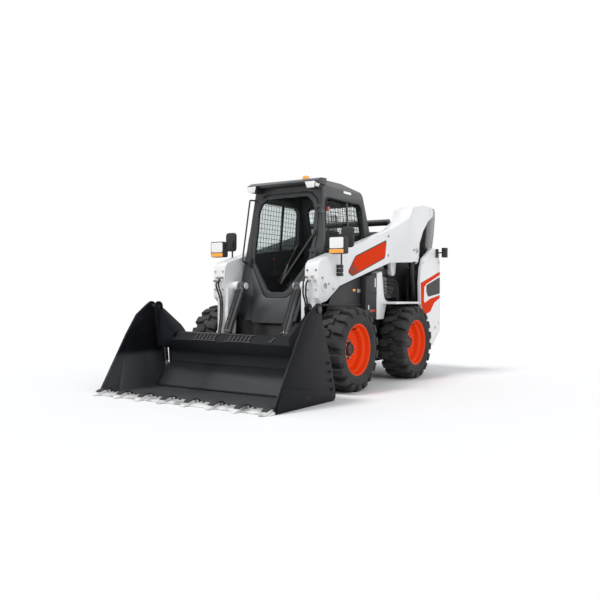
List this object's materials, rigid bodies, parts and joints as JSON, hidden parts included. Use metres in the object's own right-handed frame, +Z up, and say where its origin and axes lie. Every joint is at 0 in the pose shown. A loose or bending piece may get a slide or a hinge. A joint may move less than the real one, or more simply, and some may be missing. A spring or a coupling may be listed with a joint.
{
  "type": "skid steer loader",
  "caption": "Compact wheeled loader with a vertical-lift arm, a closed cab and a combination bucket that opens as a clam.",
  "frame": {"origin": "middle of the machine's length and width, on the floor", "axes": "+X towards the machine's left side, -Y the way it drives and digs, +Z up"},
  "size_m": [2.048, 4.035, 2.284],
  "materials": {
    "white_paint": "gloss paint",
    "dark_cover": "grained dark cover",
    "black_steel": "satin black paint",
    "engine_iron": "painted casting",
    "cab_paint": "satin charcoal paint",
    "clear_glass": "clear glass",
    "seat_fabric": "woven cover",
    "dark_plastic": "moulded plastic",
    "amber_lens": "amber lens",
    "lamp_lens": "clear lens",
    "tyre_rubber": "black rubber",
    "orange_paint": "gloss orange paint",
    "chrome_rod": "polished rod",
    "cylinder_grey": "satin grey paint",
    "bucket_paint": "satin near-black paint",
    "worn_steel": "worn bright steel"
  },
  "bodies": {
    "chassis": {"main_frame": "white_paint", "side_covers": "dark_cover", "tower_covers": "dark_cover", "axle_housings": "black_steel", "rear_frame": "white_paint", "tail_inner_plates": "black_steel", "engine_bay": "black_steel", "fenders": "white_paint", "engine_deck": "dark_cover", "engine_block": "engine_iron", "cab_shell": "cab_paint", "front_panel": "cab_paint", "side_windows": "clear_glass", "side_screens": "black_steel", "rear_window": "clear_glass", "seat": "seat_fabric", "seat_base": "dark_plastic", "controls": "dark_plastic", "beacon": "amber_lens", "roof_lamps": "lamp_lens", "grab_handle": "black_steel", "rear_lamps": "dark_plastic"},
    "door": {"door_frame": "cab_paint", "door_glass": "clear_glass", "wiper": "black_steel"},
    "hood": {"hood_lid": "dark_cover"},
    "tailgate": {"tailgate": "white_paint"},
    "rear_links": {"rear_links": "black_steel"},
    "lift_arm": {"lift_arms": "white_paint", "cross_tubes": "black_steel", "arm_lamps": "dark_plastic", "arm_mirrors": "dark_plastic"},
    "control_links": {"control_links": "black_steel"},
    "lift_barrels": {"lift_barrels": "black_steel"},
    "lift_rods": {"lift_rods": "chrome_rod"},
    "tilt_barrels": {"tilt_barrels": "cylinder_grey"},
    "tilt_rods": {"tilt_rods": "chrome_rod"},
    "carrier": {"quick_attach": "black_steel", "bucket_back": "bucket_paint", "clam_pins": "black_steel"},
    "clam": {"bucket_clam": "bucket_paint", "cutting_edge": "worn_steel", "bucket_teeth": "worn_steel"},
    "clam_barrels": {"clam_barrels": "black_steel"},
    "clam_rods": {"clam_rods": "chrome_rod"},
    "wheel_front_left": {"tyre_front_left": "tyre_rubber", "rim_front_left": "orange_paint"},
    "wheel_front_right": {"tyre_front_right": "tyre_rubber", "rim_front_right": "orange_paint"},
    "wheel_rear_left": {"tyre_rear_left": "tyre_rubber", "rim_rear_left": "orange_paint"},
    "wheel_rear_right": {"tyre_rear_right": "tyre_rubber", "rim_rear_right": "orange_paint"}
  },
  "joints": [
    {"name": "wheel_front_left", "type": "hinge", "parent": "chassis", "child": "wheel_front_left", "pos_m": [0.78, -0.3125, 0.419], "axis": [1, 0, 0], "continuous": true},
    {"name": "wheel_front_right", "type": "hinge", "parent": "chassis", "child": "wheel_front_right", "pos_m": [-0.78, -0.3125, 0.419], "axis": [1, 0, 0], "continuous": true},
    {"name": "wheel_rear_left", "type": "hinge", "parent": "chassis", "child": "wheel_rear_left", "pos_m": [0.78, 1.1025, 0.419], "axis": [1, 0, 0], "continuous": true},
    {"name": "wheel_rear_right", "type": "hinge", "parent": "chassis", "child": "wheel_rear_right", "pos_m": [-0.78, 1.1025, 0.419], "axis": [1, 0, 0], "continuous": true},
    {"name": "rear_link_swing", "type": "hinge", "parent": "chassis", "child": "rear_links", "pos_m": [0, 1.6375, 1.05], "axis": [1, 0, 0], "range_deg": [0, 22.04]},
    {"name": "arm_lift", "type": "hinge", "parent": "rear_links", "child": "lift_arm", "pos_m": [0, 1.8075, 2], "axis": [-1, 0, 0], "range_deg": [0, 88]},
    {"name": "control_link_swing", "type": "hinge", "parent": "chassis", "child": "control_links", "pos_m": [0, -0.1495, 1.207], "axis": [1, 0, 0], "range_deg": [0, 59.66]},
    {"name": "lift_cylinder_swing", "type": "hinge", "parent": "chassis", "child": "lift_barrels", "pos_m": [0, 1.6175, 0.45], "axis": [1, 0, 0], "range_deg": [0, 11.14]},
    {"name": "lift_cylinder_stroke", "type": "slide", "parent": "lift_barrels", "child": "lift_rods", "axis": [0, -0.2404, 0.9707], "range_m": [0, 0.85379]},
    {"name": "carrier_tilt", "type": "hinge", "parent": "lift_arm", "child": "carrier", "pos_m": [0, -0.8125, 0.22], "axis": [1, 0, 0], "range_deg": [-25, 108]},
    {"name": "tilt_cylinder_swing", "type": "hinge", "parent": "lift_arm", "child": "tilt_barrels", "pos_m": [0, -0.5475, 1.048], "axis": [1, 0, 0], "range_deg": [-3.57, 0.83]},
    {"name": "tilt_cylinder_stroke", "type": "slide", "parent": "tilt_barrels", "child": "tilt_rods", "axis": [0, -0.4514, -0.8923], "range_m": [-0.07345, 0.31731]},
    {"name": "clam_open", "type": "hinge", "parent": "carrier", "child": "clam", "pos_m": [0, -1.2325, 0.83], "axis": [-1, 0, 0], "range_deg": [0, 55]},
    {"name": "clam_cylinder_swing", "type": "hinge", "parent": "carrier", "child": "clam_barrels", "pos_m": [0, -1.1125, 0.655], "axis": [1, 0, 0], "range_deg": [-64.76, 0]},
    {"name": "clam_cylinder_stroke", "type": "slide", "parent": "clam_barrels", "child": "clam_rods", "axis": [0, 0.1277, -0.9918], "range_m": [0, 0.16964]},
    {"name": "door_open", "type": "hinge", "parent": "chassis", "child": "door", "pos_m": [0.44, -0.3875, 1.33], "axis": [0.0395, 0.1579, 0.9867], "range_deg": [0, 92]},
    {"name": "hood_open", "type": "hinge", "parent": "chassis", "child": "hood", "pos_m": [0, 1.1335, 1.706], "axis": [1, 0, 0], "range_deg": [0, 55]},
    {"name": "tailgate_open", "type": "hinge", "parent": "chassis", "child": "tailgate", "pos_m": [-0.478, 2.0085, 1], "axis": [0, 0, 1], "range_deg": [0, 100]}
  ],
  "couplings": [
    {"joint": "rear_link_swing", "follows": "arm_lift", "ratio": 0.25},
    {"joint": "control_link_swing", "follows": "arm_lift", "ratio": 0.67658},
    {"joint": "lift_cylinder_swing", "follows": "arm_lift", "ratio": 0.12635},
    {"joint": "lift_cylinder_stroke", "follows": "arm_lift", "m_per_rad": 0.55478},
    {"joint": "tilt_cylinder_swing", "follows": "carrier_tilt", "ratio": -0.033},
    {"joint": "tilt_cylinder_stroke", "follows": "carrier_tilt", "m_per_rad": 0.168},
    {"joint": "clam_cylinder_swing", "follows": "clam_open", "ratio": -1.1751},
    {"joint": "clam_cylinder_stroke", "follows": "clam_open", "m_per_rad": 0.17637}
  ]
}
